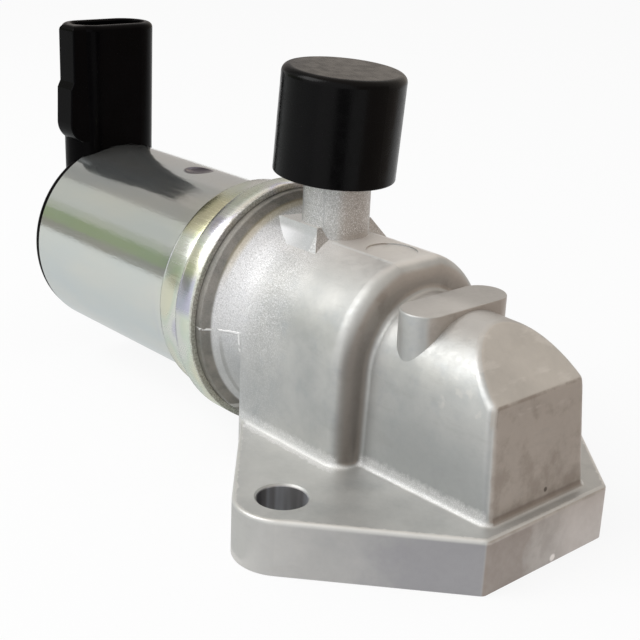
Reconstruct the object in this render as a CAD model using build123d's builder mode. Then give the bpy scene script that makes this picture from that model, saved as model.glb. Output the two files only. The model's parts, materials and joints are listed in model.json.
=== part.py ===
from build123d import *
from math import cos, radians, sin, tan
import os

# Idle air control valve. Origin: middle of the bolting face, between the two bolt holes.
# +X runs along the solenoid axis towards the nose, +Z up from the bolting face. Millimetres.

# Bolting flange: a hexagon drawn round two bolt lugs
flange_thickness = 8.45
flange_half_length = 25.9
flange_end_half_width = 12.9
flange_corner_radius = 1.2
flange_edge_radius = 0.5
bolt_spacing = 53.0
bolt_hole_radius = 3.6
bolt_hole_chamfer = 0.35
lug_radius = 7.0

# Casting: valve body, flared barrel and nose
axis_height = 22.8
body_radius = 15.3
body_rear_x = -23.65
body_front_x = -0.8
body_flat_cut = 0.6
body_wall = 2.4
body_edge_radius = 2.8
flare_start_x = -21.5
flare_mid_x = -25.0
flare_mid_rise = 0.95
flare_x = -27.6
flare_rise = 2.7
lip_front_x = -28.6
lip_rear_x = -31.6
lip_radius = 19.35
lip_edge_radius = 0.35
barrel_inset = 0.2
nose_drop = 0.4
nose_root_x = -6.0
nose_root_radius = 10.8
nose_front_x = 22.2
nose_front_radius = 10.0
nose_side_draft = 2.6
nose_front_draft = 4.8
nose_edge_radius = 1.4
facet_start_x = 13.2
facet_start_rise = 10.1
facet_end_rise = 2.1
step_fillet = 1.1
foot_fillet = 1.0
top_mark_x = -7.6
top_mark_radius = 3.9
top_mark_depth = 0.2
cut_margin = 6.0

# Cross boss on the nose, round at both ends
boss_x = 5.3
boss_rise = 10.6
boss_end_radius = 3.5
boss_end_offset = 6.2
boss_edge_radius = 0.3

# Breather nipple on its pad
nipple_x = -20.0
nipple_radius = 5.2
nipple_height = 17.7
nipple_bore_radius = 2.4
nipple_bore_floor_rise = 0.7
breather_x = -22.0
breather_radius = 1.1
pad_rise = 1.8
pad_half_width = 5.6
pad_front_x = -18.0
pad_rear_x = -28.0
pad_depth = 4.6
pad_taper = 32

# Air ways in the casting
rear_web_x = -20.0
rear_web_front_x = -18.0
rear_seat_bore_radius = 9.0
mid_chamber_radius = 8.2
front_web_x = -9.0
front_web_front_x = -7.0
front_seat_radius = 5.2
nose_chamber_radius = 6.2
nose_chamber_end_x = 10.5
front_wall_x = -2.8
bush_bore_end_x = 18.8
inlet_length = 7.2
inlet_width = 14.0
outlet_width = 12.4
port_corner_radius = 2.0
side_passage_width = 3.0
side_passage_drop = 7.8
side_passage_rise = 5.2

# Solenoid can: drawn cup with two stepped rings
can_rear_x = -80.3
can_radius = 17.2
can_wall = 1.0
shoulder_thickness = 0.9
first_ring_x = -41.0
first_ring_radius = 18.6
second_ring_x = -34.6
rim_front_x = -29.8
rim_radius = 20.25
ring_edge_radius = 1.0
ring_root_radius = 0.3
dent_x = -55.0
dent_radius = 2.4
dent_depth = 0.45

# Magnet circuit and coil
plate_boss_radius = 6.0
plate_boss_front_x = -29.7
coil_front_x = -35.2
coil_rear_x = -64.2
bobbin_flange_thickness = 1.5
bobbin_flange_radius = 15.9
bobbin_bore_radius = 6.5
bobbin_barrel_radius = 7.9
winding_radius = 15.2
rear_plate_thickness = 2.5
core_head_thickness = 2.0
core_head_radius = 8.0
core_radius = 6.0
core_front_x = -56.6
pole_cup_depth = 1.6
pole_rim_width = 0.5
spring_seat_depth = 5.6
turned_chamfer = 0.4
sleeve_wall = 0.4
sleeve_front_x = -34.0
sleeve_rear_x = -63.0
plunger_front_x = -36.0
plunger_rear_x = -52.0
spring_pocket_radius = 3.7
spring_pocket_floor_x = -46.0
screw_radius = 3.45
screw_length = 6.0
screw_socket_flats = 4.0
screw_socket_depth = 3.0

# Shaft, discs, clips, bushes and seat ring
shaft_radius = 1.5
shaft_shoulder_radius = 2.0
shaft_front_x = 17.2
disc_thickness = 1.5
rear_disc_radius = 8.3
rear_hub_radius = 3.0
rear_hub_length = 2.2
front_disc_radius = 6.4
front_hub_radius = 3.9
front_hub_length = 2.2
clip_thickness = 0.6
clip_radius = 2.7
clip_gap = 1.6
clip_groove_depth = 0.35
seat_ring_bore_radius = 7.0
seat_ring_flange_radius = 10.4
seat_ring_flange = 0.6
bush_radius = 3.2
front_bush_radius = 3.0
front_bush_length = 7.1
front_bush_flange = 0.8
front_bush_flange_radius = 4.0

# Springs
return_spring_radius = 3.05
return_spring_wire = 0.8
return_spring_turns = 8
balance_spring_radius = 3.4
balance_spring_wire = 0.6
balance_spring_turns = 9

# Seals: rings of round section in their grooves
housing_seal_radius = 16.4
housing_seal_section = 1.56
cap_seal_x = -76.1
cap_seal_section = 1.7
seal_groove_width = 2.2

# End cap with its plug tower
spigot_front_x = -70.4
end_disc_rear_x = -82.0
end_disc_radius = 17.0
end_disc_edge_radius = 0.6
tower_x = -83.1
tower_length = 9.2
tower_width = 17.0
tower_corner_radius = 4.5
tower_draft = 0.5
tower_wall = 1.4
tower_foot_radius = 1.5
tower_edge_radius = 1.0
socket_chamfer = 0.3
tower_foot_rise = 1.2
tower_top_rise = 39.1
socket_depth = 17.9
latch_pad_x = -81.7
latch_pad_width = 5.0
latch_pad_proud = 1.1
latch_pad_length = 20.7
latch_pad_sink = 0.3
latch_pad_edge_radius = 0.3
latch_top_depth = 9.9
latch_step_length = 1.2
latch_straight_length = 6.2
latch_top_proud = 0.6
latch_foot_proud = 0.8

# Terminals and diode
terminal_y = 3.6
terminal_width = 2.8
terminal_thickness = 0.8
terminal_height = 10.2
terminal_top_depth = 9.4
terminal_chamfer = 0.25
diode_x = -72.5
diode_radius = 1.2
diode_length = 4.6
diode_lead_radius = 0.3
pocket_depth = 4.2
pocket_width = 12.4
pocket_below = 1.4
pocket_above = 3.4

# Filter cap and its foam ring
cap_radius = 9.45
cap_lean = 3.9
cap_lean_direction = 16.0
cap_skirt_drop = 10.55
cap_top_rise = 5.6
cap_wall = 1.35
cap_edge_radius = 1.2
cap_lip_radius = 0.25
cap_sleeve_wall = 0.8
cap_sleeve_drop = 5.0
cap_stop_width = 1.0
cap_slot_width = 2.4
cap_slots = 4
cap_slot_rise = 0.8
foam_inset = 1.0

# Fits between the pieces
slip_fit = 0.05
close_fit = 0.01
seat_gap = 0.05
moulded_fit = 0.02

solenoid_axis = Axis((0, 0, axis_height), (1, 0, 0))
axis_plane = Plane((0, 0, axis_height), x_dir=(1, 0, 0), z_dir=(0, -1, 0))
bolt_places = [(0, bolt_spacing / 2), (0, -bolt_spacing / 2)]
body_top_z = axis_height + body_radius - body_flat_cut
flare_radius = body_radius + flare_rise
facet_start_z = axis_height + facet_start_rise
facet_end_z = axis_height + facet_end_rise
nose_foot_x = nose_front_x + (facet_end_z - flange_thickness) * tan(radians(nose_front_draft))
boss_z = axis_height + boss_rise
pad_top_z = body_top_z + pad_rise
nipple_top_z = pad_top_z + nipple_height
nipple_bore_floor_z = pad_top_z + nipple_bore_floor_rise
rear_chamber_radius = body_radius - body_wall
inlet_x = (rear_web_front_x + front_web_x) / 2
outlet_x = (front_wall_x + nose_chamber_end_x) / 2
outlet_length = nose_chamber_end_x - front_wall_x
rim_bore_radius = lip_radius + slip_fit
plate_rear_x = second_ring_x + shoulder_thickness
can_bore_radius = can_radius - can_wall
rear_plate_x = coil_rear_x - bobbin_flange_thickness
core_head_x = rear_plate_x - rear_plate_thickness
core_rear_x = core_head_x - core_head_thickness
spring_seat_x = core_front_x - spring_seat_depth
rear_disc_face_x = rear_web_x - seat_ring_flange - seat_gap
front_disc_face_x = front_web_x - seat_gap
rear_hub_end_x = rear_disc_face_x - disc_thickness - rear_hub_length
front_hub_end_x = front_disc_face_x + front_hub_length
tower_foot_z = axis_height + tower_foot_rise
tower_top_z = axis_height + tower_top_rise
terminal_z = axis_height + terminal_height
terminal_face_z = terminal_z + terminal_thickness / 2
terminal_top_z = tower_top_z - terminal_top_depth
pocket_low_z = terminal_z - pocket_below
pocket_high_z = terminal_z + pocket_above


def turn(*points, mode=Mode.ADD):
    """Shape turned about the solenoid axis from (x, radius) corners."""
    with BuildSketch(axis_plane) as profile:
        with BuildLine():
            Polyline(*points, close=True)
        make_face()
    revolve(profile.sketch, axis=solenoid_axis, mode=mode)


def tube(x_a, x_b, outer, inner=0.0, mode=Mode.ADD):
    """Straight round length about the solenoid axis, hollow where inner is given."""
    turn((x_a, inner), (x_b, inner), (x_b, outer), (x_a, outer), mode=mode)


def arch(x, radius):
    """Upright section of the nose: drafted flanks that run into a round top."""
    draft = radians(nose_side_draft)
    centre_z = axis_height - nose_drop
    foot_z = flange_thickness / 2
    shoulder = (radius * cos(draft), centre_z + radius * sin(draft))
    foot_y = shoulder[0] + (shoulder[1] - foot_z) * tan(draft)
    with BuildSketch(Plane.YZ.offset(x)) as section:
        with BuildLine():
            Polyline(shoulder, (foot_y, foot_z), (-foot_y, foot_z), (-shoulder[0], shoulder[1]))
            ThreePointArc((-shoulder[0], shoulder[1]), (0, centre_z + radius), shoulder)
        make_face()
    return section.sketch


def edges_at_x(part, *places):
    """Round edges about the solenoid axis that lie at the given x."""
    rings = part.edges().filter_by(GeomType.CIRCLE)
    return rings.filter_by(lambda e: min(abs(e.center().X - x) for x in places) < 0.02)


def ring_edge(part, x, radius):
    """Round edge about the solenoid axis with the given place and radius."""
    return edges_at_x(part, x).filter_by(lambda e: abs(e.radius - radius) < 0.02)


def disc_clip(x):
    """Open retaining ring that sits in the shaft's groove from x forwards."""
    groove_radius = shaft_radius - clip_groove_depth
    tube(x, x + clip_thickness, clip_radius, groove_radius + moulded_fit)
    with BuildSketch(Plane.YZ.offset(x)) as gap:
        with Locations((0, axis_height + clip_radius / 2)):
            Rectangle(clip_gap, clip_radius)
    extrude(gap.sketch, amount=clip_thickness, mode=Mode.SUBTRACT)


def coil_spring(x_a, x_b, radius, wire, turns):
    """Round-wire spring between two seats on the solenoid axis."""
    length = x_b - x_a - wire - 2 * seat_gap
    start = (x_a + wire / 2 + seat_gap, 0, axis_height)
    with BuildLine() as path:
        Helix(pitch=length / turns, height=length, radius=radius, center=start, direction=(1, 0, 0))
    with BuildSketch(Plane(path.line @ 0, z_dir=path.line % 0)) as section:
        Circle(wire / 2)
    sweep(section.sketch, path=path.line, is_frenet=True)


def round_seal(x, radius, section_width):
    """Ring of round section about the solenoid axis."""
    with BuildSketch(axis_plane) as section:
        with Locations((x, radius)):
            Circle(section_width / 2)
    revolve(section.sketch, axis=solenoid_axis)


# Housing: one die casting
with BuildPart() as housing:
    with BuildSketch():
        Rectangle(2 * flange_half_length, 2 * flange_end_half_width)
        with Locations(bolt_places):
            Circle(lug_radius)
        make_hull()
    extrude(amount=flange_thickness)
    ends = housing.edges().filter_by(Axis.Z)
    fillet(ends.filter_by(lambda e: abs(e.center().X) > flange_half_length - 0.1), flange_corner_radius)
    fillet(housing.faces().sort_by(Axis.Z)[-1].edges(), flange_edge_radius)

    # valve body: flat flanks, round top with a narrow flat
    with BuildSketch(Plane.YZ.offset(body_rear_x)):
        with Locations((0, axis_height / 2)):
            Rectangle(2 * body_radius, axis_height)
        with Locations((0, axis_height)):
            Circle(body_radius)
        with Locations((0, body_top_z / 2)):
            Rectangle(4 * body_radius, body_top_z, mode=Mode.INTERSECT)
    extrude(amount=body_front_x - body_rear_x)
    front_face = housing.faces().filter_by(Axis.X)
    front_face = front_face.filter_by(lambda f: abs(f.center().X - body_front_x) < 0.01)
    outline = front_face.edges().filter_by(lambda e: e.center().Z > flange_thickness + 1)
    fillet(outline, body_edge_radius)

    # barrel that flares to the lip
    flare_foot = (flare_start_x, body_radius - barrel_inset)
    with BuildSketch(axis_plane):
        with BuildLine():
            Polyline((lip_rear_x, 0), (flare_start_x, 0), flare_foot)
            ThreePointArc(flare_foot, (flare_mid_x, body_radius + flare_mid_rise), (flare_x, flare_radius))
            Polyline((flare_x, flare_radius), (lip_front_x, lip_radius), (lip_rear_x, lip_radius), (lip_rear_x, 0))
        make_face()
    revolve(axis=solenoid_axis)

    # nose with its slanted facet and its drafted front
    loft([arch(nose_root_x, nose_root_radius).face(), arch(nose_foot_x, nose_front_radius).face()])
    facet_slope = (facet_start_z - facet_end_z) / (nose_front_x - facet_start_x)
    with BuildSketch(Plane.XZ):
        with BuildLine():
            Polyline(
                (facet_start_x - cut_margin, facet_start_z + cut_margin * facet_slope),
                (nose_front_x, facet_end_z),
                (nose_foot_x, flange_thickness),
                (nose_foot_x + cut_margin, flange_thickness),
                (nose_foot_x + cut_margin, facet_start_z + cut_margin * facet_slope),
                close=True,
            )
        make_face()
    extrude(amount=2 * body_radius, both=True, mode=Mode.SUBTRACT)
    nose_planes = housing.faces().filter_by(GeomType.PLANE).filter_by(lambda f: f.center().X > boss_x)
    nose_planes = nose_planes.filter_by(lambda f: f.center().Z > flange_thickness + 1)
    front = nose_planes.sort_by(lambda f: f.normal_at().X)[-1]
    facet = nose_planes.sort_by(lambda f: abs(f.normal_at().X - f.normal_at().Z))[0]
    front_edges = front.edges().filter_by(lambda e: e.center().Z > flange_thickness + 1)
    facet_arcs = facet.edges().filter_by(lambda e: e.center().Z > facet_end_z + 0.1)
    fillet(front_edges + facet_arcs, nose_edge_radius)

    # hollow corners where the nose and the body meet the step and the flange
    step = housing.edges().filter_by(lambda e: abs(e.center().X - body_front_x) < 0.06)
    step = step.filter_by(lambda e: e.center().Z > flange_thickness + 1 and abs(e.center().Y) < nose_root_radius + 1)
    fillet(step.filter_by(lambda e: e.length > nose_root_radius / 2), step_fillet)
    foot = housing.edges().filter_by(lambda e: abs(e.center().Z - flange_thickness) < 0.05)
    foot = foot.filter_by(lambda e: body_rear_x + 0.5 < e.center().X < nose_foot_x + 1)
    foot = foot.filter_by(lambda e: abs(e.center().Y) < body_radius + 0.3)
    fillet(foot, foot_fillet)

    # cross boss
    with BuildSketch(Plane.XY.offset(axis_height)):
        with Locations((boss_x, 0)):
            SlotCenterToCenter(2 * boss_end_offset, 2 * boss_end_radius, rotation=90)
    extrude(amount=boss_rise)
    boss_top = housing.faces().filter_by(lambda f: abs(f.center().Z - boss_z) < 0.01)
    fillet(boss_top.edges(), boss_edge_radius)

    # breather nipple on its tapered pad
    with BuildSketch(Plane.XY.offset(pad_top_z)):
        with Locations(((pad_front_x + pad_rear_x) / 2, 0)):
            Rectangle(pad_front_x - pad_rear_x, 2 * pad_half_width)
    extrude(amount=-pad_depth, taper=-pad_taper)
    with BuildSketch(Plane.XY.offset(pad_top_z - pad_depth)):
        with Locations((nipple_x, 0)):
            Circle(nipple_radius)
    extrude(amount=nipple_top_z - pad_top_z + pad_depth)
    fillet(edges_at_x(housing, flare_x, lip_front_x), lip_edge_radius)

    # round ejector mark on the flat top
    with BuildSketch(Plane.XY.offset(body_top_z)):
        with Locations((top_mark_x, 0)):
            Circle(top_mark_radius)
    extrude(amount=-top_mark_depth, mode=Mode.SUBTRACT)

    # chambers and seats along the axis
    tube(lip_rear_x, rear_web_x, rear_chamber_radius, mode=Mode.SUBTRACT)
    tube(rear_web_x, rear_web_front_x, rear_seat_bore_radius, mode=Mode.SUBTRACT)
    tube(rear_web_front_x, front_web_x, mid_chamber_radius, mode=Mode.SUBTRACT)
    tube(front_web_x, front_web_front_x, front_seat_radius, mode=Mode.SUBTRACT)
    tube(front_web_front_x, nose_chamber_end_x, nose_chamber_radius, mode=Mode.SUBTRACT)
    tube(nose_chamber_end_x, bush_bore_end_x, front_bush_radius + close_fit, mode=Mode.SUBTRACT)

    # groove for the seal in the lip's rear face
    groove_half = seal_groove_width / 2
    tube(
        lip_rear_x,
        lip_rear_x + housing_seal_section + moulded_fit,
        housing_seal_radius + groove_half,
        housing_seal_radius - groove_half,
        mode=Mode.SUBTRACT,
    )

    # two ports in the bolting face
    for port_x, length, width in (
        (inlet_x, inlet_length, inlet_width),
        (outlet_x, outlet_length, outlet_width),
    ):
        with BuildSketch():
            with Locations((port_x, 0)):
                RectangleRounded(length, width, port_corner_radius)
        extrude(amount=axis_height, mode=Mode.SUBTRACT)

    # side passages past the middle chamber, and the cross passage that joins them to the nose
    passage_z = axis_height + (side_passage_rise - side_passage_drop) / 2
    passage_height = side_passage_rise + side_passage_drop
    passage_wall = rear_web_front_x - rear_web_x
    for side in (1, -1):
        with BuildSketch(Plane.YZ.offset(rear_web_x - passage_wall)):
            with Locations((side * (rear_chamber_radius - side_passage_width / 2), passage_z)):
                Rectangle(side_passage_width, passage_height)
        extrude(amount=front_wall_x - rear_web_x + passage_wall, mode=Mode.SUBTRACT)
    with BuildSketch(Plane.YZ.offset(front_web_front_x)):
        with Locations((0, passage_z)):
            Rectangle(2 * rear_chamber_radius, passage_height)
    extrude(amount=front_wall_x - front_web_front_x, mode=Mode.SUBTRACT)

    # nipple bore and the drilling down to the rear chamber
    with BuildSketch(Plane.XY.offset(nipple_bore_floor_z)):
        with Locations((nipple_x, 0)):
            Circle(nipple_bore_radius)
    extrude(amount=nipple_top_z - nipple_bore_floor_z, mode=Mode.SUBTRACT)
    with BuildSketch(Plane.XY.offset(axis_height)):
        with Locations((breather_x, 0)):
            Circle(breather_radius)
    extrude(amount=nipple_bore_floor_z + breather_radius - axis_height, mode=Mode.SUBTRACT)

    # bolt holes
    with BuildSketch():
        with Locations(bolt_places):
            Circle(bolt_hole_radius)
    extrude(amount=flange_thickness, mode=Mode.SUBTRACT)
    mouths = housing.edges().filter_by(GeomType.CIRCLE).filter_by(lambda e: abs(e.radius - bolt_hole_radius) < 0.01)
    chamfer(mouths.filter_by(lambda e: e.center().Z > flange_thickness / 2), bolt_hole_chamfer)
housing.part.label = "housing"

# Solenoid can: drawn steel cup, open at both ends, rolled over the casting's lip
with BuildPart() as solenoid_can:
    first_ring_inner = first_ring_radius - can_wall
    turn(
        (can_rear_x, can_bore_radius),
        (can_rear_x, can_radius),
        (first_ring_x, can_radius),
        (first_ring_x, first_ring_radius),
        (second_ring_x, first_ring_radius),
        (second_ring_x, rim_radius),
        (rim_front_x, rim_radius),
        (rim_front_x, rim_bore_radius),
        (plate_rear_x, rim_bore_radius),
        (plate_rear_x, first_ring_inner),
        (first_ring_x + can_wall, first_ring_inner),
        (first_ring_x + can_wall, can_bore_radius),
    )
    fillet(ring_edge(solenoid_can, first_ring_x, first_ring_radius), ring_edge_radius)
    fillet(ring_edge(solenoid_can, second_ring_x, rim_radius), ring_edge_radius)
    fillet(ring_edge(solenoid_can, first_ring_x, can_radius), ring_root_radius)
    fillet(ring_edge(solenoid_can, second_ring_x, first_ring_radius), ring_root_radius)
    # staked dent on top
    ball_radius = (dent_radius**2 + dent_depth**2) / (2 * dent_depth)
    with Locations((dent_x, 0, axis_height + can_radius - dent_depth + ball_radius)):
        Sphere(ball_radius, mode=Mode.SUBTRACT)
solenoid_can.part.label = "solenoid_can"

# Front pole plate: flux plate clamped by the lip, with a boss for the shaft's bush
with BuildPart() as front_pole_plate:
    tube(plate_rear_x, lip_rear_x, lip_radius, bush_radius + close_fit)
    tube(lip_rear_x, plate_boss_front_x, plate_boss_radius, bush_radius + close_fit)
    boss_rim = edges_at_x(front_pole_plate, plate_boss_front_x).sort_by(lambda e: e.radius)[-1]
    chamfer(boss_rim, turned_chamfer)
front_pole_plate.part.label = "front_pole_plate"

# Seal between casting and front pole plate
with BuildPart() as housing_seal:
    round_seal(lip_rear_x + (housing_seal_section + moulded_fit) / 2, housing_seal_radius, housing_seal_section)
housing_seal.part.label = "housing_seal"

# Coil bobbin: spool with two flanges
with BuildPart() as coil_bobbin:
    front_flange_x = coil_front_x + bobbin_flange_thickness
    tube(coil_rear_x, coil_front_x, bobbin_barrel_radius, bobbin_bore_radius)
    tube(coil_front_x, front_flange_x, bobbin_flange_radius, bobbin_bore_radius)
    tube(rear_plate_x, coil_rear_x, bobbin_flange_radius, bobbin_bore_radius)
coil_bobbin.part.label = "coil_bobbin"

# Coil winding
with BuildPart() as coil_winding:
    tube(coil_rear_x, coil_front_x, winding_radius, bobbin_barrel_radius + moulded_fit)
coil_winding.part.label = "coil_winding"

# Rear pole plate: flux washer with a window for the terminals
with BuildPart() as rear_pole_plate:
    tube(core_head_x, rear_plate_x, can_bore_radius - slip_fit, core_radius + close_fit)
    with BuildSketch(Plane.YZ.offset(core_head_x)):
        with Locations((0, (pocket_low_z + pocket_high_z) / 2)):
            Rectangle(pocket_width, pocket_high_z - pocket_low_z)
    extrude(amount=rear_plate_thickness, mode=Mode.SUBTRACT)
rear_pole_plate.part.label = "rear_pole_plate"

# Fixed core: headed steel core with a cupped pole face and a bore for spring and screw
with BuildPart() as fixed_core:
    tube(core_head_x, core_front_x, core_radius)
    tube(core_rear_x, core_head_x, core_head_radius)
    tube(core_rear_x, core_front_x, screw_radius + slip_fit, mode=Mode.SUBTRACT)
    tube(spring_seat_x, core_front_x, spring_pocket_radius, mode=Mode.SUBTRACT)
    turn(
        (core_front_x - pole_cup_depth, spring_pocket_radius),
        (core_front_x, spring_pocket_radius),
        (core_front_x, core_radius - pole_rim_width),
        mode=Mode.SUBTRACT,
    )
fixed_core.part.label = "fixed_core"

# Thin sleeve that guides the plunger and holds the core in line
with BuildPart() as plunger_sleeve:
    tube(sleeve_rear_x, sleeve_front_x, core_radius + slip_fit + sleeve_wall, core_radius + slip_fit)
plunger_sleeve.part.label = "plunger_sleeve"

# Adjusting screw with a hexagon socket
with BuildPart() as adjusting_screw:
    tube(spring_seat_x - screw_length, spring_seat_x, screw_radius)
    with BuildSketch(Plane.YZ.offset(spring_seat_x - screw_length)):
        with Locations((0, axis_height)):
            RegularPolygon(screw_socket_flats / 2, 6, major_radius=False)
    extrude(amount=screw_socket_depth, mode=Mode.SUBTRACT)
adjusting_screw.part.label = "adjusting_screw"

# Plunger: steel armature with a spring pocket at the rear and a cone that meets the core's cup
with BuildPart() as plunger:
    cone_radius = core_radius - pole_rim_width
    turn(
        (plunger_rear_x, shaft_radius + close_fit),
        (plunger_front_x, shaft_radius + close_fit),
        (plunger_front_x, core_radius),
        (plunger_rear_x + pole_cup_depth, core_radius),
        (plunger_rear_x, cone_radius),
    )
    tube(plunger_rear_x, spring_pocket_floor_x, spring_pocket_radius, mode=Mode.SUBTRACT)
    chamfer(edges_at_x(plunger, plunger_front_x).sort_by(lambda e: e.radius)[-1], turned_chamfer)
plunger.part.label = "plunger"

# Valve shaft: stepped, with a groove for each disc's clip
with BuildPart() as valve_shaft:
    rear_shoulder_x = rear_disc_face_x
    front_shoulder_x = front_disc_face_x - disc_thickness
    tube(spring_pocket_floor_x, shaft_front_x, shaft_radius)
    tube(rear_shoulder_x, front_shoulder_x, shaft_shoulder_radius)
    for groove_x in (rear_hub_end_x - clip_thickness, front_hub_end_x):
        tube(
            groove_x,
            groove_x + clip_thickness,
            shaft_shoulder_radius,
            shaft_radius - clip_groove_depth,
            mode=Mode.SUBTRACT,
        )
    chamfer(edges_at_x(valve_shaft, shaft_front_x), turned_chamfer)
valve_shaft.part.label = "valve_shaft"

# Rear valve disc with its hub
with BuildPart() as rear_valve_disc:
    disc_rear_x = rear_disc_face_x - disc_thickness
    tube(disc_rear_x, rear_disc_face_x, rear_disc_radius, shaft_radius + close_fit)
    tube(rear_hub_end_x, disc_rear_x, rear_hub_radius, shaft_radius + close_fit)
rear_valve_disc.part.label = "rear_valve_disc"

# Front valve disc, whose hub carries the balance spring
with BuildPart() as front_valve_disc:
    disc_rear_x = front_disc_face_x - disc_thickness
    tube(disc_rear_x, front_disc_face_x, front_disc_radius, shaft_radius + close_fit)
    tube(front_disc_face_x, front_hub_end_x, front_hub_radius, shaft_radius + close_fit)
front_valve_disc.part.label = "front_valve_disc"

# Retaining rings behind and before the discs
with BuildPart() as rear_disc_clip:
    disc_clip(rear_hub_end_x - clip_thickness)
rear_disc_clip.part.label = "rear_disc_clip"

with BuildPart() as front_disc_clip:
    disc_clip(front_hub_end_x)
front_disc_clip.part.label = "front_disc_clip"

# Seat ring pressed into the rear web
with BuildPart() as rear_seat_ring:
    tube(rear_web_x, rear_web_front_x, rear_seat_bore_radius - close_fit, seat_ring_bore_radius)
    tube(rear_web_x - seat_ring_flange, rear_web_x, seat_ring_flange_radius, seat_ring_bore_radius)
rear_seat_ring.part.label = "rear_seat_ring"

# Plain bearings for the shaft
with BuildPart() as rear_bush:
    tube(plate_rear_x, plate_boss_front_x, bush_radius, shaft_radius + slip_fit)
rear_bush.part.label = "rear_bush"

with BuildPart() as front_bush:
    bush_end_x = nose_chamber_end_x + front_bush_length
    flange_x = nose_chamber_end_x - front_bush_flange
    tube(nose_chamber_end_x, bush_end_x, front_bush_radius, shaft_radius + slip_fit)
    tube(flange_x, nose_chamber_end_x, front_bush_flange_radius, shaft_radius + slip_fit)
front_bush.part.label = "front_bush"

# Springs at the two ends of the moving group
with BuildPart() as return_spring:
    coil_spring(
        spring_seat_x, spring_pocket_floor_x, return_spring_radius, return_spring_wire, return_spring_turns
    )
return_spring.part.label = "return_spring"

with BuildPart() as balance_spring:
    spring_end_x = nose_chamber_end_x - front_bush_flange
    coil_spring(front_hub_end_x, spring_end_x, balance_spring_radius, balance_spring_wire, balance_spring_turns)
balance_spring.part.label = "balance_spring"


def terminal_blade(side, fit=0.0):
    """Bent strip on one side: a leg along X from the coil and the blade that stands in the socket."""
    half = terminal_thickness / 2 + fit
    with BuildSketch(Plane.XZ.offset(-side * terminal_y)) as strip:
        with BuildLine():
            Polyline(
                (rear_plate_x + fit, terminal_z - half),
                (tower_x - half, terminal_z - half),
                (tower_x - half, terminal_top_z),
                (tower_x + half, terminal_top_z),
                (tower_x + half, terminal_z + half),
                (rear_plate_x + fit, terminal_z + half),
                close=True,
            )
        make_face()
    extrude(strip.sketch, amount=terminal_width / 2 + fit, both=True, mode=Mode.SUBTRACT if fit else Mode.ADD)


# End cap of the solenoid, moulded in one with the upright plug tower
with BuildPart() as connector_body:
    # tower: the drafted column, and the latch pad on its near side whose foot runs back into the column
    with BuildSketch(Plane.XY.offset(tower_foot_z)):
        with Locations((tower_x, 0)):
            RectangleRounded(tower_length, tower_width, tower_corner_radius)
    extrude(amount=tower_top_z - tower_foot_z, taper=-tower_draft)
    foot_edges = connector_body.faces().sort_by(Axis.Z)[0].edges()
    fillet(foot_edges, tower_foot_radius)
    pad_y = -tower_width / 2 - latch_pad_proud
    latch_high_z = tower_top_z - latch_top_depth
    latch_edge_z = latch_high_z - latch_step_length
    latch_foot = (pad_y - latch_foot_proud, latch_edge_z - latch_straight_length)
    pad_foot = (-tower_width / 2 + latch_pad_sink, tower_top_z - latch_pad_length)
    with BuildSketch(Plane.YZ.offset(latch_pad_x - latch_pad_width / 2)):
        with BuildLine():
            Polyline((0, pad_foot[1]), (0, tower_top_z), (pad_y, tower_top_z), (pad_y, latch_high_z))
            Polyline((pad_y, latch_high_z), (pad_y - latch_top_proud, latch_edge_z), latch_foot)
            TangentArc(latch_foot, pad_foot, tangent=(0, -1))
            Line(pad_foot, (0, pad_foot[1]))
        make_face()
    extrude(amount=latch_pad_width)
    pad_corner = connector_body.edges().filter_by(lambda e: e.center().Y < pad_y + 0.05)
    pad_corner = pad_corner.filter_by(lambda e: abs(abs(e.center().X - latch_pad_x) - latch_pad_width / 2) < 0.01)
    fillet(pad_corner, latch_pad_edge_radius)
    fillet(connector_body.faces().sort_by(Axis.Z)[-1].edges(), tower_edge_radius)

    # saddle where the tower stands over the can, then the disc and the spigot in the can
    tube(can_rear_x, spigot_front_x, can_radius + 2 * slip_fit, mode=Mode.SUBTRACT)
    tube(can_rear_x, spigot_front_x, can_bore_radius - slip_fit)
    tube(end_disc_rear_x, can_rear_x, end_disc_radius)
    disc_rim = ring_edge(connector_body, end_disc_rear_x, end_disc_radius)
    fillet(disc_rim, end_disc_edge_radius)

    # socket, groove for the seal, pocket for the diode
    inner_radius = tower_corner_radius - tower_wall
    with BuildSketch(Plane.XY.offset(tower_top_z)):
        with Locations((tower_x, 0)):
            RectangleRounded(tower_length - 2 * tower_wall, tower_width - 2 * tower_wall, inner_radius)
    extrude(amount=-socket_depth, mode=Mode.SUBTRACT)
    mouth = connector_body.faces().sort_by(Axis.Z)[-1].inner_wires()
    chamfer(mouth.edges(), socket_chamfer)
    groove_floor = can_bore_radius - cap_seal_section - 2 * slip_fit
    tube(
        cap_seal_x - seal_groove_width / 2,
        cap_seal_x + seal_groove_width / 2,
        can_bore_radius,
        groove_floor,
        mode=Mode.SUBTRACT,
    )
    with BuildSketch(Plane.YZ.offset(spigot_front_x)):
        with Locations((0, (pocket_low_z + pocket_high_z) / 2)):
            Rectangle(pocket_width, pocket_high_z - pocket_low_z)
    extrude(amount=-pocket_depth, mode=Mode.SUBTRACT)
    for side in (1, -1):
        terminal_blade(side, moulded_fit)
connector_body.part.label = "connector_body"

# Seal between end cap and can
with BuildPart() as connector_seal:
    round_seal(cap_seal_x, can_bore_radius - slip_fit - cap_seal_section / 2, cap_seal_section)
connector_seal.part.label = "connector_seal"

# Terminals
with BuildPart() as left_terminal:
    terminal_blade(1)
    chamfer(left_terminal.faces().sort_by(Axis.Z)[-1].edges(), terminal_chamfer)
left_terminal.part.label = "left_terminal"

with BuildPart() as right_terminal:
    terminal_blade(-1)
    chamfer(right_terminal.faces().sort_by(Axis.Z)[-1].edges(), terminal_chamfer)
right_terminal.part.label = "right_terminal"

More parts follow.
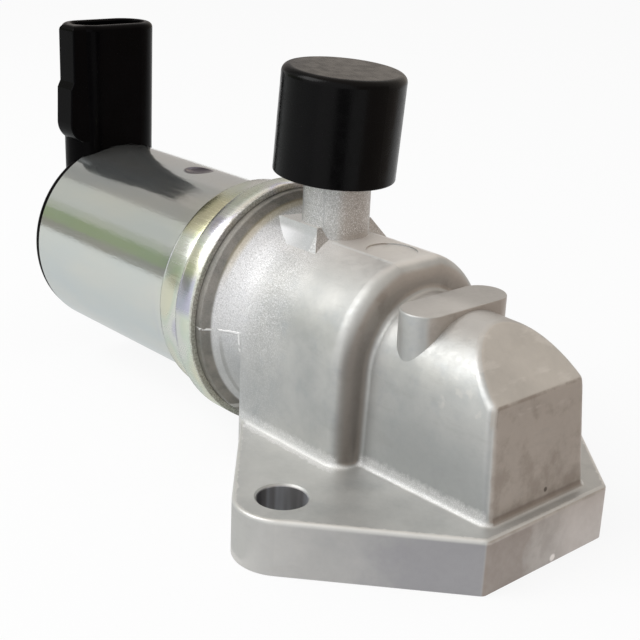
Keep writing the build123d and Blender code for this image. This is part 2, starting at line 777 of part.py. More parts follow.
# Clamp diode with its two leads, soldered across the terminals
with BuildPart() as clamp_diode:
    diode_z = terminal_face_z + diode_radius + seat_gap
    across = Plane((diode_x, -diode_length / 2, diode_z), x_dir=(1, 0, 0), z_dir=(0, 1, 0))
    with BuildSketch(across):
        Circle(diode_radius)
    extrude(amount=diode_length)
    with BuildSketch(across.offset(diode_length / 2 - terminal_y - diode_lead_radius)):
        Circle(diode_lead_radius)
    extrude(amount=2 * (terminal_y + diode_lead_radius))
    with BuildSketch(Plane.XY.offset(terminal_face_z)):
        with Locations((diode_x, terminal_y), (diode_x, -terminal_y)):
            Circle(diode_lead_radius)
    extrude(amount=diode_z - terminal_face_z)
clamp_diode.part.label = "clamp_diode"

# Filter cap: open below, pushed on to the nipple a little askew, with a slotted sleeve round the nipple
lean = radians(cap_lean)
lean_way = radians(cap_lean_direction)
cap_upright = (sin(lean) * cos(lean_way), sin(lean) * sin(lean_way), cos(lean))
cap_axis = Axis((nipple_x, 0, nipple_top_z), cap_upright)
cap_plane = Plane((nipple_x, 0, nipple_top_z), z_dir=cap_upright)
sleeve_bore = nipple_radius / cos(lean) + cap_sleeve_drop * tan(lean) + slip_fit
sleeve_radius = sleeve_bore + cap_sleeve_wall
roof_rise = cap_top_rise - cap_wall
with BuildPart() as filter_cap:
    stop_rise = nipple_radius * sin(lean) + slip_fit
    stop_bore = nipple_radius - cap_stop_width
    with BuildSketch(cap_plane.offset(-cap_skirt_drop)):
        Circle(cap_radius)
    extrude(amount=cap_skirt_drop + cap_top_rise)
    fillet(filter_cap.faces().sort_by(cap_axis)[-1].edges(), cap_edge_radius)
    fillet(filter_cap.faces().sort_by(cap_axis)[0].edges(), cap_lip_radius)
    with BuildSketch(cap_plane.offset(-cap_skirt_drop)):
        Circle(cap_radius - cap_wall)
    extrude(amount=cap_skirt_drop + roof_rise, mode=Mode.SUBTRACT)
    with BuildSketch(cap_plane.offset(-cap_sleeve_drop)):
        Circle(sleeve_radius)
    extrude(amount=cap_sleeve_drop + roof_rise)
    with BuildSketch(cap_plane.offset(-cap_sleeve_drop)):
        Circle(sleeve_bore)
    extrude(amount=cap_sleeve_drop + stop_rise, mode=Mode.SUBTRACT)
    with BuildSketch(cap_plane.offset(stop_rise)):
        Circle(stop_bore)
    extrude(amount=roof_rise - stop_rise, mode=Mode.SUBTRACT)
    slot_low = stop_rise + cap_slot_rise
    with BuildSketch(cap_plane.offset(slot_low)):
        with PolarLocations((stop_bore + sleeve_radius) / 2, cap_slots):
            Rectangle(sleeve_radius - stop_bore + cap_sleeve_wall, cap_slot_width)
    extrude(amount=roof_rise - slot_low, mode=Mode.SUBTRACT)
filter_cap.part.label = "filter_cap"

# Foam ring between the cap and its sleeve
with BuildPart() as filter_element:
    foam_drop = cap_skirt_drop - foam_inset
    with BuildSketch(cap_plane.offset(-foam_drop)):
        Circle(cap_radius - cap_wall - slip_fit)
        Circle(sleeve_radius + slip_fit, mode=Mode.SUBTRACT)
    extrude(amount=foam_drop + roof_rise)
filter_element.part.label = "filter_element"

pieces = [
    housing,
    solenoid_can,
    front_pole_plate,
    housing_seal,
    coil_bobbin,
    coil_winding,
    rear_pole_plate,
    fixed_core,
    plunger_sleeve,
    adjusting_screw,
    plunger,
    valve_shaft,
    rear_valve_disc,
    front_valve_disc,
    rear_disc_clip,
    front_disc_clip,
    rear_seat_ring,
    rear_bush,
    front_bush,
    return_spring,
    balance_spring,
    connector_body,
    connector_seal,
    left_terminal,
    right_terminal,
    clamp_diode,
    filter_cap,
    filter_element,
]
os.makedirs("parts", exist_ok=True)
for piece in pieces:
    export_step(piece.part, f"parts/{piece.part.label}.step")
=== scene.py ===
import json
import math

import bpy
from mathutils import Matrix, Vector


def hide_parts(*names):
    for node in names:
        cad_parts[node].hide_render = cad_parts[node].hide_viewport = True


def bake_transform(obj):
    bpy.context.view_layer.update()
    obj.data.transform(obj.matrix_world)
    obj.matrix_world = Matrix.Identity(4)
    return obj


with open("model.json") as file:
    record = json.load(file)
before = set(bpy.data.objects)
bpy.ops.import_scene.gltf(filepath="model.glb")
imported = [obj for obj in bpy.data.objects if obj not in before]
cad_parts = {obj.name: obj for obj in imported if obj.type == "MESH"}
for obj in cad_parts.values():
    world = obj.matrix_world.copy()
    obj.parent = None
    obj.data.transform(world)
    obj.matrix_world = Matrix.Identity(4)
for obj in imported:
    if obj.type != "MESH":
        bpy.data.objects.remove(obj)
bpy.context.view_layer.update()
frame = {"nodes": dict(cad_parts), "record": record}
nodes = frame["nodes"]
scene = bpy.context.scene

# Lengths of the part, in millimetres: height of the solenoid's axis, bolt holes from the middle, lugs, flange
AXIS_Z = 22.8
BOLT_Y = 26.5
LUG_RADIUS = 7.0
FLANGE_END_X = 25.9

# Flange's slanted side: its normal, and its distance from the middle between the bolts
SLANT_X, SLANT_Y, SLANT_REACH = 0.6634, 0.7485, 26.838

# One millimetre in metres
MM = 0.001


class Surface:
    """Principled material whose places are millimetres in the object's own frame."""

    def __init__(self, name, **uniform):
        self.material = bpy.data.materials.new(name)
        self.material.use_nodes = True
        self.tree = self.material.node_tree
        self.tree.nodes.clear()
        out = self.tree.nodes.new("ShaderNodeOutputMaterial")
        self.shader = self.tree.nodes.new("ShaderNodeBsdfPrincipled")
        self.tree.links.new(self.shader.outputs[0], out.inputs[0])
        for key, value in uniform.items():
            self.shader.inputs[key.replace("_", " ")].default_value = value
        place = self.add("TexCoord").outputs["Object"]
        self.mm = self.vec("SCALE", place, 1.0 / MM)
        self.x, self.y, self.z = self.add("SeparateXYZ", {0: self.mm}).outputs

    def add(self, kind, inputs=None, **attributes):
        made = self.tree.nodes.new("ShaderNode" + kind)
        for key, value in attributes.items():
            setattr(made, key, value)
        for key, value in (inputs or {}).items():
            if isinstance(value, bpy.types.NodeSocket):
                self.tree.links.new(value, made.inputs[key])
            else:
                made.inputs[key].default_value = value
        return made

    def vec(self, operation, a, b):
        inputs = {0: a, 3: b} if operation == "SCALE" else {0: a, 1: b}
        return self.add("VectorMath", inputs, operation=operation).outputs[0]

    def math(self, operation, a, b=0.0):
        return self.add("Math", {0: a, 1: b}, operation=operation).outputs[0]

    def mul(self, first, *others):
        for other in others:
            first = self.math("MULTIPLY", first, other)
        return first

    def plus(self, a, b):
        return self.math("ADD", a, b)

    def minus(self, a, b):
        return self.math("SUBTRACT", a, b)

    def absolute(self, a):
        return self.math("ABSOLUTE", a)

    def length(self, a, b):
        return self.math("SQRT", self.plus(self.mul(a, a), self.mul(b, b)))

    def most(self, *values):
        top = values[0]
        for value in values[1:]:
            top = self.math("MAXIMUM", top, value)
        return top

    def blend_value(self, factor, a, b):
        return self.plus(a, self.mul(factor, self.minus(b, a)))

    def step(self, value, low, high, to_low=0.0, to_high=1.0):
        """Goes smoothly from to_low to to_high between low and high."""
        inputs = {"Value": value, 1: low, 2: high, 3: to_low, 4: to_high}
        return self.add("MapRange", inputs, interpolation_type="SMOOTHSTEP").outputs[0]

    def line(self, value, centre, half, soft):
        """1 within half of the centre, fading to 0 over soft."""
        return self.step(self.absolute(self.minus(value, centre)), half, half + soft, 1.0, 0.0)

    def noise(self, size, detail=2.0, rough=0.5, stretch=None, seed=0.0):
        place = self.mm
        if stretch:
            place = self.vec("MULTIPLY", place, stretch)
        if seed:
            place = self.vec("ADD", place, (seed, seed * 1.7, seed * 0.6))
        inputs = {"Vector": place, "Scale": 1.0 / size, "Detail": detail, "Roughness": rough}
        return self.add("TexNoise", inputs).outputs[0]

    def cells(self, size):
        return self.add("TexVoronoi", {"Vector": self.mm, "Scale": 1.0 / size}).outputs["Distance"]

    def blend(self, factor, a, b):
        made = self.add("Mix", {0: factor}, data_type="RGBA")
        for index, value in ((6, a), (7, b)):
            if isinstance(value, bpy.types.NodeSocket):
                self.tree.links.new(value, made.inputs[index])
            else:
                made.inputs[index].default_value = (*value, 1.0)
        return made.outputs[2]

    def paint(self, colour, *shares):
        """Lays a colour over the base, as strongly as the product of the shares."""
        self.base = self.blend(self.mul(*shares), self.base, colour)

    def ramp(self, factor, *stops):
        made = self.add("ValToRGB", {0: factor})
        points = made.color_ramp.elements
        while len(points) < len(stops):
            points.new(0.5)
        for point, (place, colour) in zip(points, stops):
            point.position = place
            point.color = (*colour, 1.0)
        return made.outputs[0]

    def bump(self, height, depth, below=None):
        inputs = {"Height": height, "Distance": depth * MM, "Strength": 1.0}
        if below is not None:
            inputs["Normal"] = below
        return self.add("Bump", inputs).outputs[0]

    def out(self, **sockets):
        self.tree.links.new(self.base, self.shader.inputs["Base Color"])
        for key, value in sockets.items():
            self.tree.links.new(value, self.shader.inputs[key])
        return self.material


def cast_walls(s):
    """Painted light and shade on the body and nose walls by facing and height, their stains and flow marks, painted
    shade in the step between them and on the pad beside the nipple.
    """
    crown = s.mul(s.step(s.nz, 0.75, 0.95), s.step(s.z, 28.0, 30.0))
    # Painted light: the tops lighter, most towards the rear where the cap shades them
    s.paint((0.84, 0.81, 0.77), crown, s.step(s.x, -4.0, -12.0, 0.65, 1.0))
    # Painted shade: the tops of the nose and boss darker, more on the far side
    s.paint((0.42, 0.405, 0.385), crown, s.step(s.x, -2.0, 0.0), s.step(s.y, -2.0, 3.0, 0.5, 0.95))
    # Painted shade: a brownish tone on the forward-facing faces
    s.paint((0.47, 0.41, 0.36), s.front, 0.75)
    lower = s.mul(s.step(s.z, 20.0, 9.0), 0.14)
    s.paint((0.27, 0.225, 0.19), s.front, s.step(s.plus(s.blot, lower), 0.50, 0.76), 0.45)
    left = s.step(s.ny, -0.6, -0.9)
    # Painted reflection: a cool tint, in blotches, on the left-facing flanks
    s.paint((0.36, 0.39, 0.42), left, s.step(s.blot, 0.50, 0.72), 0.3)
    # Painted shade: the left-facing flanks darker towards the bottom, most on the nose
    s.paint((0.345, 0.355, 0.355), left, s.step(s.z, 27.0, 12.0), s.step(s.x, -6.0, 8.0, 0.35, 0.85))
    flow = s.noise(1.3, 3.0, 0.6, stretch=(0.25, 0.25, 1.0), seed=11.0)
    s.paint((0.30, 0.29, 0.275), s.step(flow, 0.54, 0.74), 0.15)

    # Painted shade in the hollow step between body and nose, darker towards the bottom
    step_shade = s.mul(s.step(s.nx, 0.34, 0.8), s.step(s.z, 8.6, 9.4), s.line(s.x, -0.6, 1.6, 0.5))
    s.paint((0.21, 0.19, 0.17), step_shade, s.step(s.z, 36.0, 24.0, 0.15, 0.8))
    s.pad_flank = s.mul(s.step(s.z, 31.0, 31.6), s.line(s.x, -22.7, 4.9, 0.3), s.line(s.side, 7.4, 3.0, 0.4),
                        s.line(s.absolute(s.ny), 0.848, 0.03, 0.04))
    # Painted shade: the pad's flank beside the nipple darker
    s.paint((0.33, 0.34, 0.345), s.pad_flank, 0.7)


def cast_flange_and_nose(s):
    """Painted light and shade on the flange's sides and top, a painted highlight on the nose's shoulder, stains and
    pale marks on the flange, the nose's facet with a painted reflection and scuffs, and the edge between facet and
    front.
    """
    low = s.mul(s.step(s.z, 8.0, 7.6), s.step(s.nz, 0.5, 0.3))
    # Painted shade on the flange's sides towards the front, painted light on them towards the rear
    s.paint((0.43, 0.405, 0.395), low, s.step(s.x, 1.0, 9.0), 0.35)
    s.paint((0.74, 0.71, 0.67), low, s.step(s.x, 10.0, 0.0), 0.38)
    # Painted light on the flange's top towards the rear, painted shade towards the front
    s.paint((0.66, 0.655, 0.63), s.flange_top, s.step(s.x, 6.0, -6.0, 0.0, 0.4))
    s.paint((0.45, 0.445, 0.43), s.flange_top, s.step(s.x, 4.0, 12.0, 0.0, 0.4))
    # Painted highlight on the nose's shoulder
    s.paint((0.78, 0.79, 0.785), s.step(s.x, 11.0, 18.0), s.step(s.z, 20.0, 27.0), s.step(s.y, -4.0, -7.0),
            s.step(s.nx, 0.5, 0.2), 0.3)
    wander = s.mul(s.blot, 9.0)
    s.paint((0.30, 0.295, 0.315), low, s.step(s.plus(s.x, wander), 14.0, 24.0), s.step(s.nx, 0.9, 0.7), 0.72)
    s.paint((0.26, 0.21, 0.18), low, s.front, s.step(s.plus(s.y, wander), 1.5, -1.5), 0.6)
    s.paint((0.62, 0.565, 0.53), low, s.front, s.step(s.y, 0.0, 6.0), 0.6)

    facet = s.mul(s.step(s.z, 21.5, 23.0), s.step(s.x, 12.5, 13.5))
    edge = s.mul(s.line(s.nx, 0.87, 0.05, 0.06), facet, s.step(s.absolute(s.ny), 0.45, 0.3))
    s.paint((0.25, 0.205, 0.17), edge, s.step(s.blot, 0.35, 0.55), 0.5)
    scuff = s.noise(2.2, 3.0, 0.6, stretch=(1.0, 0.35, 1.0), seed=41.0)
    # Painted reflection: the facet brownish
    s.paint((0.60, 0.53, 0.455), facet, s.line(s.nx, 0.664, 0.1, 0.1), 0.4)
    s.paint((0.74, 0.71, 0.67), facet, s.step(scuff, 0.55, 0.68), 0.35)


def cast_sand(s):
    """Sandy skin of the barrel, the body's top and the foot of the walls, with painted light on the barrel, a
    painted highlight along the walls' foot and painted shade at the foot of the nose's front; returns how sandy it
    is.
    """
    barrel = s.mul(s.step(s.x, -11.0, -19.0), s.plus(s.mul(s.step(s.z, 17.0, 27.0), 0.75), 0.25),
                   s.step(s.z, 38.6, 37.8))
    high = s.mul(s.step(s.z, 37.9, 38.6), s.step(s.x, -6.0, -13.0))
    wall_foot = s.mul(s.step(s.z, 8.5, 8.7), s.step(s.plus(s.z, s.mul(s.fine, 1.6)), 11.6, 10.3))
    verge = s.mul(s.flange_top, s.step(s.x, -0.5, -2.0), s.step(s.plus(s.side, s.mul(s.fine, 1.4)), 17.6, 17.0))
    band = s.mul(s.most(wall_foot, verge), s.step(s.nx, 0.75, 0.5))
    sandy = s.mul(s.most(barrel, high, s.mul(band, 0.8)), s.minus(1.0, s.mul(s.pad_flank, 0.8)))

    # Painted light: the barrel lighter, most on its upper side and towards the can
    s.paint((0.83, 0.83, 0.85), barrel, s.step(s.x, -19.0, -25.0, 0.1, 0.65))
    s.paint((0.95, 0.95, 0.96), s.step(s.grain, 0.50, 0.64), sandy, 0.7)
    s.paint((0.30, 0.295, 0.30), s.step(s.grain, 0.48, 0.36), sandy, 0.45)
    # Sandy skin and a painted highlight along the foot of the walls
    s.paint((0.86, 0.86, 0.85), band, 0.45)
    # Painted shade in the corner at the foot of the nose's front
    front_foot_shade = s.mul(s.step(s.x, 21.5, 22.5), s.step(s.z, 8.5, 8.7), s.step(s.z, 9.8, 9.3))
    s.paint((0.25, 0.21, 0.18), front_foot_shade, s.step(s.absolute(s.ny), 0.3, 0.1), 0.7)
    return sandy


def cast_rim(s):
    """Painted shade on the lip under the can's rim, a painted reflection of the rim on the barrel below it, and a
    turned line beside them.
    """
    # Painted shade, in blotches, on the lip under the can's rim
    lip_shade = s.ramp(s.blot, (0.35, (0.10, 0.095, 0.075)), (0.62, (0.22, 0.20, 0.165)))
    s.paint(lip_shade, s.step(s.x, -27.3, -27.8), s.step(s.radius, 17.7, 18.2), 0.8)
    # Painted reflection of the can's rim, yellowish brown, on the barrel below it
    rim_reflection = s.mul(s.line(s.radius, 17.6, 0.35, 0.5), s.step(s.x, -26.6, -27.3), s.step(s.z, 28.0, 36.0))
    s.paint((0.44, 0.36, 0.19), rim_reflection, 0.5)
    turned_line = s.mul(s.line(s.radius, 17.1, 0.1, 0.16), s.step(s.x, -25.5, -26.5), s.step(s.z, 24.0, 19.0))
    s.paint((0.2, 0.19, 0.17), turned_line, 0.35)


def cast_edges(s):
    """Parting flash, a painted highlight along the crease of the flat top, and wear with a painted highlight on the
    flange's top edge; returns the flash.
    """
    parting = s.mul(s.line(s.z, AXIS_Z, 0.10, 0.16), s.step(s.x, -23.5, -23.7))
    corner = s.mul(s.line(s.x, -23.72, 0.12, 0.14), s.step(s.side, 14.6, 14.9), s.line(s.z, 21.2, 1.5, 0.4))
    flash = s.mul(s.most(parting, corner), s.step(s.noise(0.9, 2.0, seed=5.0), 0.40, 0.5))
    crease = s.mul(s.line(s.side, 4.3, 0.14, 0.30), s.step(s.z, 37.0, 37.3), s.line(s.x, -9.5, 5.6, 1.2))
    # Bright parting flash, and a painted highlight along the crease
    s.paint((0.95, 0.95, 0.94), s.most(flash, s.mul(crease, 0.7)), 0.85)

    # How far a place is inside the flange's outline: slanted sides, square ends, round lugs
    slant = s.minus(SLANT_REACH, s.plus(s.mul(s.absolute(s.x), SLANT_X), s.mul(s.side, SLANT_Y)))
    straight = s.math("MINIMUM", slant, s.minus(FLANGE_END_X, s.absolute(s.x)))
    lug = s.minus(LUG_RADIUS, s.length(s.x, s.minus(s.side, BOLT_Y)))
    inset = s.blend_value(s.step(s.side, 28.5, 30.5), straight, lug)
    # Wear and a painted highlight along the flange's top edge
    edge_wear_and_highlight = s.mul(s.step(s.plus(inset, s.mul(s.fine, 0.7)), 1.05, 0.75), s.step(s.z, 7.6, 8.1),
                 s.step(s.z, 8.75, 8.6), s.step(s.x, 25.8, 25.0, 0.35, 1.0))
    s.paint((0.88, 0.86, 0.82), edge_wear_and_highlight, 0.45)
    return flash


def cast_marks(s):
    """Pit in the nose's front, bright chip below it, a painted highlight on the nose's corner and painted shade
    with painted highlights, in streaks, on the bolt holes' walls.
    """
    pit = ((1.6, 10.4), 0.32, (0.07, 0.055, 0.045))
    chip = ((1.6, 0.7), 0.5, (0.92, 0.86, 0.82))
    for (across, height), radius, colour in (pit, chip):
        gap = s.length(s.minus(s.y, across), s.minus(s.z, height))
        s.paint(colour, s.step(gap, radius * 1.5, radius * 0.7), s.front, 0.8)
    # Painted highlight on the nose's corner where facet, front and side meet
    gap = s.add("VectorMath", {0: s.mm, 1: (22.1, -10.7, 26.2)}, operation="DISTANCE").outputs["Value"]
    s.paint((0.98, 0.98, 0.97), s.step(gap, 2.4, 0.9), 0.85)

    # Painted shade and painted highlights, in streaks, on the bolt holes' walls
    stripe = s.noise(2.4, 2.0, 0.5, stretch=(1.0, 1.0, 0.05), seed=14.0)
    streaked = s.ramp(stripe, (0.35, (0.13, 0.125, 0.13)), (0.55, (0.26, 0.255, 0.255)), (0.70, (0.44, 0.45, 0.48)))
    s.paint(streaked, s.step(s.length(s.x, s.minus(s.side, BOLT_Y)), 3.75, 3.65), s.step(s.side, 21.0, 22.0))


def cast_aluminium():
    """Die casting: sandy barrel, smoother flanks, rubbed edges, stains and flow marks, with painted light, shade,
    highlights and reflections.
    """
    s = Surface("cast_aluminium", Metallic=0.6)
    s.nx, s.ny, s.nz = s.add("SeparateXYZ", {0: s.add("TexCoord").outputs["Normal"]}).outputs
    s.side = s.absolute(s.y)
    s.radius = s.length(s.y, s.minus(s.z, AXIS_Z))
    s.grain = s.noise(0.145, 2.0, 0.6)
    s.fine = s.noise(0.85, 3.0, 0.55, seed=7.0)
    s.blot = s.noise(3.2, 4.0, 0.6, seed=21.0)
    s.front = s.step(s.nx, 0.72, 0.9)
    s.flange_top = s.mul(s.step(s.nz, 0.8, 0.95), s.step(s.z, 8.9, 8.6), s.step(s.z, 8.2, 8.4))
    cloud = s.noise(6.5, 4.0, 0.55, seed=3.0)
    s.base = s.ramp(cloud, (0.32, (0.455, 0.462, 0.452)), (0.5, (0.53, 0.532, 0.515)), (0.7, (0.60, 0.598, 0.575)))

    cast_walls(s)
    cast_flange_and_nose(s)
    sandy = cast_sand(s)
    cast_rim(s)
    flash = cast_edges(s)
    cast_marks(s)

    rough = s.plus(s.mul(sandy, 0.10), s.step(s.fine, 0.3, 0.7, 0.42, 0.52))
    relief = s.plus(s.mul(s.grain, s.plus(s.mul(sandy, 0.55), 0.05)), s.mul(s.fine, 0.22))
    return s.out(Roughness=rough, Normal=s.bump(s.plus(relief, s.mul(flash, 1.2)), 0.10))


def plated_can():
    """Zinc plate: drawing lines along the cup, passivation tints on the rings, painted shade in the dent, raw
    rolled edge.
    """
    s = Surface("zinc_plated_steel", Metallic=0.93)
    tint = s.noise(7.0, 2.0, 0.5, stretch=(0.35, 1.0, 1.0), seed=2.0)
    s.base = s.ramp(tint, (0.3, (0.72, 0.76, 0.76)), (0.7, (0.80, 0.80, 0.755)))
    film = s.noise(9.0, 1.0, 0.4, stretch=(1.6, 1.0, 1.0), seed=31.0)
    film_colours = s.ramp(film, (0.34, (0.86, 0.82, 0.50)), (0.43, (0.66, 0.78, 0.56)), (0.50, (0.84, 0.85, 0.76)),
                          (0.56, (0.84, 0.85, 0.78)), (0.63, (0.50, 0.45, 0.72)), (0.70, (0.86, 0.72, 0.44)))
    s.paint(film_colours, s.step(s.x, -46.0, -38.0), 0.42)
    left = s.step(s.y, 0.0, -4.0)
    s.paint((0.34, 0.32, 0.60), s.line(s.x, -33.0, 2.2, 0.8), s.line(s.z, 27.5, 2.0, 2.0), left, 0.5)
    s.paint((0.84, 0.76, 0.34), s.line(s.x, -37.8, 2.4, 0.8), s.line(s.z, 37.5, 1.6, 2.0), left, 0.5)
    # Painted shade in the dent
    dent = s.line(s.length(s.minus(s.x, -55.0), s.y), 0.0, 2.3, 0.5)
    s.paint((0.07, 0.05, 0.075), dent, s.step(s.z, 37.0, 39.0), 0.92)
    chip = s.noise(0.32, 3.0, 0.6, seed=17.0)
    raw = s.step(s.x, -30.3, -30.1)
    s.paint(s.ramp(chip, (0.40, (0.36, 0.34, 0.29)), (0.60, (0.74, 0.73, 0.68))), raw, 0.7)

    streak = s.noise(0.7, 3.0, 0.6, stretch=(0.05, 1.0, 1.0), seed=9.0)
    rough = s.plus(s.step(streak, 0.3, 0.7, 0.10, 0.17), s.mul(raw, 0.25))
    rough = s.plus(rough, s.step(s.x, -42.0, -39.0, 0.0, 0.12))
    streaked = s.mul(s.noise(0.5, 3.0, 0.6, stretch=(0.25, 1.0, 1.0)), s.step(s.x, -42.0, -39.0, 1.0, 0.3))
    crown = 0.0
    for ring_x, half_width in ((-37.75, 3.3), (-32.35, 2.4)):
        across = s.math("DIVIDE", s.minus(s.x, ring_x), half_width)
        crown = s.plus(s.math("MAXIMUM", s.minus(1.0, s.mul(across, across)), 0.0), crown)
    rounded = s.bump(s.mul(crown, s.step(s.x, -30.0, -30.2)), 0.42)
    return s.out(Roughness=rough, Normal=s.bump(s.plus(streaked, s.mul(raw, chip, 4.0)), 0.012, rounded))


def moulding(name, colour, smooth, dull, grain, depth, gloss=0.5):
    """Moulded plastic or rubber, with a fine grain and patchy gloss."""
    s = Surface(name, Specular_IOR_Level=gloss)
    cloud = s.noise(9.0, 3.0, 0.5, seed=4.0)
    s.base = s.ramp(cloud, (0.35, tuple(0.8 * c for c in colour)), (0.65, tuple(1.25 * c for c in colour)))
    rough = s.step(s.noise(1.8, 4.0, 0.6, seed=6.0), 0.3, 0.7, smooth, dull)
    return s.out(Roughness=rough, Normal=s.bump(s.noise(grain, 2.0, 0.5), depth))


def turned(name, colour, roughness):
    """Machined or drawn metal, with lines round the solenoid's axis."""
    s = Surface(name, Metallic=1.0)
    across = s.noise(0.25, 2.0, 0.5, stretch=(1.0, 0.15, 0.15))
    s.base = s.ramp(s.noise(4.0, 2.0, 0.5, seed=8.0), (0.35, tuple(0.88 * c for c in colour)), (0.65, colour))
    rough = s.step(across, 0.3, 0.7, roughness * 0.75, roughness * 1.25)
    return s.out(Roughness=rough, Normal=s.bump(across, 0.015))


def winding():
    """Copper wire, one turn beside the next."""
    wire = 0.4
    s = Surface("copper_wire", Metallic=0.9)
    turns = s.math("SINE", s.mul(s.x, 2 * math.pi / wire))
    patch = s.noise(2.5, 2.0, 0.5, seed=1.0)
    s.base = s.ramp(patch, (0.3, (0.42, 0.15, 0.05)), (0.7, (0.62, 0.27, 0.10)))
    return s.out(Roughness=s.step(patch, 0.3, 0.7, 0.25, 0.4), Normal=s.bump(turns, 0.08))


def foam():
    """Open-cell filter foam."""
    s = Surface("filter_foam")
    holes = s.cells(0.8)
    s.base = s.ramp(holes, (0.1, (0.02, 0.02, 0.022)), (0.5, (0.10, 0.10, 0.105)))
    return s.out(Roughness=s.step(holes, 0.1, 0.5, 0.8, 1.0), Normal=s.bump(holes, 0.4))


looks = {"cast_aluminium": cast_aluminium(), "zinc_plated_steel": plated_can(), "copper_wire": winding(),
         "filter_foam": foam()}

# Mouldings: colour, least and most roughness, size and depth of the grain, gloss
for name, *finish in (
    ("black_nylon", (0.0015, 0.0012, 0.0015), 0.18, 0.26, 0.5, 0.008, 0.04),
    ("black_cap_plastic", (0.0014, 0.0012, 0.0014), 0.20, 0.30, 0.35, 0.008, 0.11),
    ("bobbin_plastic", (0.40, 0.34, 0.24), 0.40, 0.55, 0.6, 0.02),
    ("seal_rubber", (0.015, 0.015, 0.015), 0.50, 0.65, 0.4, 0.02),
    ("diode_resin", (0.012, 0.012, 0.012), 0.35, 0.5, 0.3, 0.02),
):
    looks[name] = moulding(name, *finish)

# Metals: colour, roughness
for name, *finish in (
    ("magnet_steel", (0.56, 0.56, 0.55), 0.34),
    ("stainless_steel", (0.70, 0.70, 0.69), 0.22),
    ("turned_aluminium", (0.80, 0.80, 0.79), 0.28),
    ("spring_steel", (0.42, 0.42, 0.43), 0.30),
    ("seat_brass", (0.78, 0.60, 0.27), 0.26),
    ("bearing_bronze", (0.52, 0.34, 0.17), 0.40),
    ("tinned_brass", (0.78, 0.76, 0.70), 0.28),
):
    looks[name] = turned(name, *finish)

for part in frame["record"]["subparts"]:
    body = nodes[part["node"]]
    body.data.materials.clear()
    body.data.materials.append(looks[part["material_slot"]])

# Springs, on the solenoid's axis, 0.0228 m up, are copied into coil objects that stand in for the hidden originals
for node, seated in (("return_spring", 0), ("balance_spring", 1)):
    coils = bpy.data.objects.new(f"{node}_coils", nodes[node].data.copy())
    coils.matrix_world = nodes[node].matrix_world
    scene.collection.objects.link(coils)
    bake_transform(coils)
    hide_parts(node)


def white_to_seen(tree):
    """1 for rays from the camera, from mirror-like surfaces and through glass, 0 for the rest."""
    rays = tree.nodes.new("ShaderNodeLightPath")
    total = rays.outputs["Is Camera Ray"]
    for ray in ("Is Glossy Ray", "Is Transmission Ray"):
        more = tree.nodes.new("ShaderNodeMath")
        more.operation = "MAXIMUM"
        tree.links.new(total, more.inputs[0])
        tree.links.new(rays.outputs[ray], more.inputs[1])
        total = more.outputs[0]
    return total


def scaled(tree, factor, low, high):
    made = tree.nodes.new("ShaderNodeMapRange")
    made.inputs[3].default_value = low
    made.inputs[4].default_value = high
    tree.links.new(factor, made.inputs["Value"])
    return made.outputs[0]


def mixed(tree, factor, first, second):
    made = tree.nodes.new("ShaderNodeMixShader")
    for index, socket in enumerate((factor, first, second)):
        tree.links.new(socket, made.inputs[index])
    return made.outputs[0]


def floor_material():
    """Pale paper that looks white and keeps the shadow. It shows from above only, so the ports show from below."""
    made = bpy.data.materials.new("pale_floor")
    made.use_nodes = True
    tree = made.node_tree
    paper = tree.nodes["Principled BSDF"]
    paper.inputs["Base Color"].default_value = (0.92, 0.92, 0.92, 1.0)
    paper.inputs["Roughness"].default_value = 0.9
    paper.inputs["Specular IOR Level"].default_value = 0.0
    glow = tree.nodes.new("ShaderNodeEmission").outputs[0]
    clear = tree.nodes.new("ShaderNodeBsdfTransparent").outputs[0]
    below = tree.nodes.new("ShaderNodeNewGeometry").outputs["Backfacing"]
    share = scaled(tree, white_to_seen(tree), low=0.0, high=0.88)
    white = mixed(tree, share, paper.outputs[0], glow)
    tree.links.new(mixed(tree, below, white, clear), tree.nodes["Material Output"].inputs[0])
    return made


def key_lamp(place, aim, size, power):
    data = bpy.data.lights.new("key", "AREA")
    data.size = size
    data.energy = power
    made = bpy.data.objects.new("key", data)
    scene.collection.objects.link(made)
    made.location = place
    made.rotation_euler = (Vector(aim) - Vector(place)).to_track_quat("-Z", "Y").to_euler()


def card(name, corners, colour):
    """Coloured studio card that only shows as a reflection."""
    mesh = bpy.data.meshes.new(name)
    mesh.from_pydata(corners, [], [(0, 1, 2, 3)])
    made = bpy.data.objects.new(name, mesh)
    scene.collection.objects.link(made)
    paint = bpy.data.materials.new(name)
    paint.use_nodes = True
    shader = paint.node_tree.nodes["Principled BSDF"]
    shader.inputs["Base Color"].default_value = (0, 0, 0, 1)
    shader.inputs["Emission Color"].default_value = (*colour, 1)
    shader.inputs["Emission Strength"].default_value = 1.0
    mesh.materials.append(paint)
    made.visible_camera = False
    made.visible_diffuse = False
    made.visible_shadow = False


# Floor, a hair under the part
FLOOR_Z = -0.0001
bpy.ops.mesh.primitive_plane_add(size=30.0, location=(0.0, 0.0, FLOOR_Z))
floor = bpy.context.object
floor.name = "studio_floor"
floor.data.materials.append(floor_material())

# World: soft light on the part, white to what sees it
world = bpy.data.worlds.new("studio")
scene.world = world
world.use_nodes = True
tree = world.node_tree
tree.nodes.clear()
sky = tree.nodes.new("ShaderNodeBackground")
sky.inputs["Color"].default_value = (1.0, 1.0, 1.0, 1.0)
tree.links.new(scaled(tree, white_to_seen(tree), low=0.62, high=1.0), sky.inputs["Strength"])
tree.links.new(sky.outputs[0], tree.nodes.new("ShaderNodeOutputWorld").inputs[0])
key_lamp((-0.24, -0.42, 0.50), aim=(-0.03, 0.0, 0.03), size=0.40, power=2.25)

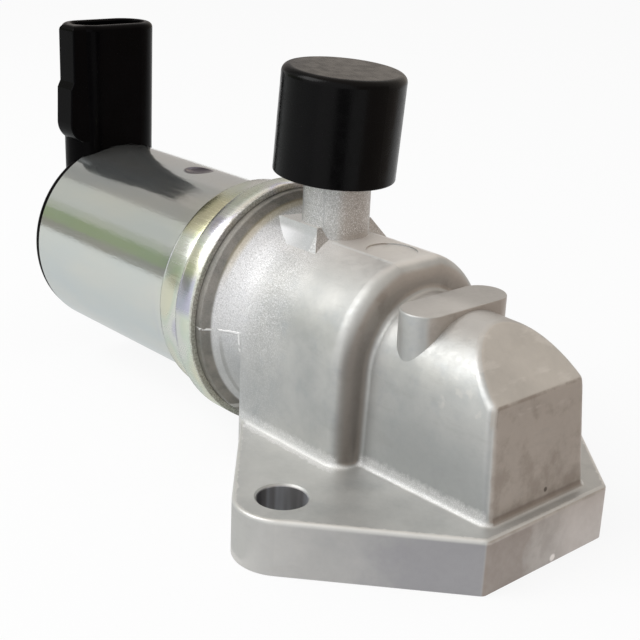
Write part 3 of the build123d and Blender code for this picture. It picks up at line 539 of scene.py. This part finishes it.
# Cards that the metal mirrors
TOP, RIGHT, BACK = 0.6, 0.7, 0.8
CARD_Z = 0.001
SAND, BROWN, SHADOW = (0.72, 0.65, 0.58), (0.42, 0.365, 0.32), (0.06, 0.06, 0.06)
card("ceiling_card", [(-0.35, -0.25, TOP), (RIGHT, -0.25, TOP), (RIGHT, BACK, TOP), (-0.35, BACK, TOP)], SAND)
card("back_card", [(-0.9, BACK, 0.02), (RIGHT, BACK, 0.02), (RIGHT, BACK, TOP), (-0.9, BACK, TOP)], SAND)
card("right_card", [(RIGHT, -0.30, 0.0), (RIGHT, BACK, 0.0), (RIGHT, BACK, TOP), (RIGHT, -0.30, TOP)], BROWN)
for name, colour, outline in (
    ("floor_card", (0.40, 0.34, 0.295), ((0.034, 0.0), (RIGHT, 0.0), (RIGHT, BACK), (0.034, BACK))),
    ("front_floor_card", (0.60, 0.62, 0.62), ((-0.9, -1.2), (0.0, -1.2), (0.0, 0.05), (-0.9, 0.05))),
    ("dark_card", SHADOW, ((0.03, -0.055), (0.50, -0.75), (0.78, -0.48), (0.055, -0.03))),
):
    card(name, [(x, y, CARD_Z) for x, y in outline], colour)

# Far wall on the left, in sectors about the solenoid's axis: bench edge, greenery, wall, ceiling. A sector
# starts at its degrees and ends where the next one starts.
WALL_X, WALL_INNER, WALL_OUTER = -1.0, 0.2, 1.6
sectors = ((-3, (0.22, 0.215, 0.185)), (9, (0.22, 0.28, 0.14)), (24, (0.40, 0.415, 0.34)), (34, (0.50, 0.50, 0.46)),
           (66, (0.27, 0.26, 0.24)), (86, (0.34, 0.32, 0.30)), (128, (0.42, 0.39, 0.37)), (200, None))
for (start, colour), (end, _) in zip(sectors, sectors[1:]):
    corners = []
    for angle, reach in ((start, WALL_INNER), (end, WALL_INNER), (end, WALL_OUTER), (start, WALL_OUTER)):
        turn = math.radians(angle)
        corners.append((WALL_X, -math.cos(turn) * reach, AXIS_Z * MM + math.sin(turn) * reach))
    card(f"wall_card_{start + 3}", corners, colour)

# Camera at the photograph's viewpoint
CAMERA_PLACE = (0.1167, -0.1295, 0.0913)
azimuth, elevation, roll = (math.radians(angle) for angle in (47.066, 20.007, 2.643))
level = math.cos(elevation)
back = Vector((math.sin(azimuth) * level, -math.cos(azimuth) * level, math.sin(elevation)))
right = (-back).cross(Vector((0, 0, 1))).normalized()
up = right.cross(-back)
across = math.cos(roll) * right + math.sin(roll) * up
upright = math.cos(roll) * up - math.sin(roll) * right
view = bpy.data.cameras.new("camera")
view.lens = 71.0
view.sensor_width = 36.0
camera = bpy.data.objects.new("camera", view)
scene.collection.objects.link(camera)
turned_view = Matrix((across, upright, back)).transposed().to_4x4()
camera.matrix_world = Matrix.Translation(CAMERA_PLACE) @ turned_view
scene.camera = camera
scene.view_settings.view_transform = "Standard"
